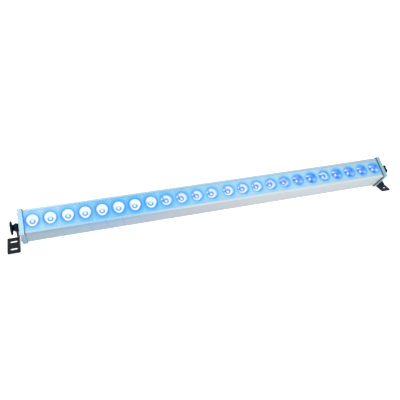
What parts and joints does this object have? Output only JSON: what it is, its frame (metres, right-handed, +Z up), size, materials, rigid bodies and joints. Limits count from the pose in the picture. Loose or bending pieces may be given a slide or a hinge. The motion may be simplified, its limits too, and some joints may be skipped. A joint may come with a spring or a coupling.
{
  "type": "led strip batten",
  "caption": "Stage lighting batten: a square aluminium bar with a row of blue collimated LEDs, on two tilting foot brackets locked by lobed knobs.",
  "frame": {"origin": "on the floor, midway between the two foot brackets, straight below the tilt axis", "axes": "+X along the bar, +Z up, -Y towards the side that the light face leans to; the bar is tilted 32 degrees about X at rest"},
  "size_m": [1.085, 0.0886, 0.0978],
  "materials": {
    "extrusion_aluminium": "satin, natural anodised",
    "cap_silver": "fine satin silver powder coat",
    "seal_rubber": "matt",
    "screw_steel": "zinc plated",
    "washer_black": "blackened steel",
    "brass": "turned",
    "bush_plastic": "matt nylon",
    "front_plate": "pale satin plate, lit blue by the light sources",
    "lens_clear": "clear moulded lens",
    "holder_black": "matt",
    "led_board_white": "white solder mask",
    "emitter": "clear silicone dome, lit blue",
    "supply_case": "folded sheet",
    "board_green": "green solder mask",
    "component_black": "matt",
    "cable_black": "smooth sheath",
    "socket_black": "fine spark-eroded texture",
    "bracket_black": "black fine-texture powder coat",
    "knob_black": "matt glass-filled nylon"
  },
  "bodies": {
    "housing": {"housing_extrusion": "extrusion_aluminium", "left_end_cap": "cap_silver", "right_end_cap": "cap_silver", "left_cap_gasket": "seal_rubber", "right_cap_gasket": "seal_rubber", "left_cap_screws": "screw_steel", "right_cap_screws": "screw_steel", "left_threaded_insert": "brass", "right_threaded_insert": "brass", "left_spacer_bush": "bush_plastic", "right_spacer_bush": "bush_plastic", "left_friction_washer": "seal_rubber", "right_friction_washer": "seal_rubber", "front_plate_1": "front_plate", "front_plate_2": "front_plate", "front_plate_3": "front_plate", "front_plate_4": "front_plate", "lens_set_1": "lens_clear", "lens_set_2": "lens_clear", "lens_set_3": "lens_clear", "lens_set_4": "lens_clear", "lens_holder_1": "holder_black", "lens_holder_2": "holder_black", "lens_holder_3": "holder_black", "lens_holder_4": "holder_black", "led_board_1": "led_board_white", "led_board_2": "led_board_white", "led_board_3": "led_board_white", "led_board_4": "led_board_white", "led_emitters_1": "emitter", "led_emitters_2": "emitter", "led_emitters_3": "emitter", "led_emitters_4": "emitter", "front_seal": "seal_rubber", "mounting_rail": "extrusion_aluminium", "board_screws": "screw_steel", "power_supply": "supply_case", "power_supply_screws": "screw_steel", "control_board": "board_green", "control_board_parts": "component_black", "board_standoffs": "brass", "internal_wiring": "cable_black", "power_inlet": "socket_black", "power_outlet": "socket_black", "data_inlet": "socket_black", "data_outlet": "socket_black", "socket_gaskets": "seal_rubber", "socket_screws": "screw_steel", "vent_plug": "socket_black", "earth_terminal": "brass"},
    "left_bracket": {"left_bracket": "bracket_black"},
    "right_bracket": {"right_bracket": "bracket_black"},
    "left_washer": {"left_thrust_washer": "washer_black"},
    "right_washer": {"right_thrust_washer": "washer_black"},
    "left_knob": {"left_knob": "knob_black", "left_knob_stud": "screw_steel"},
    "right_knob": {"right_knob": "knob_black", "right_knob_stud": "screw_steel"}
  },
  "joints": [
    {"name": "left_bracket_tilt", "type": "hinge", "parent": "housing", "child": "left_bracket", "pos_m": [-0.5135, 0, 0.0535], "axis": [1, 0, 0], "continuous": true},
    {"name": "left_washer_travel", "type": "slide", "parent": "housing", "child": "left_washer", "axis": [-1, 0, 0], "range_m": [0, 0.0025]},
    {"name": "left_knob_turn", "type": "hinge", "parent": "left_washer", "child": "left_knob", "pos_m": [-0.52, 0, 0.0535], "axis": [-1, 0, 0], "range_deg": [0, 720]},
    {"name": "right_bracket_tilt", "type": "hinge", "parent": "housing", "child": "right_bracket", "pos_m": [0.5135, 0, 0.0535], "axis": [1, 0, 0], "continuous": true},
    {"name": "right_washer_travel", "type": "slide", "parent": "housing", "child": "right_washer", "axis": [1, 0, 0], "range_m": [0, 0.0025]},
    {"name": "right_knob_turn", "type": "hinge", "parent": "right_washer", "child": "right_knob", "pos_m": [0.52, 0, 0.0535], "axis": [1, 0, 0], "range_deg": [0, 720]}
  ],
  "couplings": [
    {"joint": "left_knob_turn", "follows": "left_washer_travel", "rad_per_m": 5026.5},
    {"joint": "right_knob_turn", "follows": "right_washer_travel", "rad_per_m": 5026.5}
  ]
}
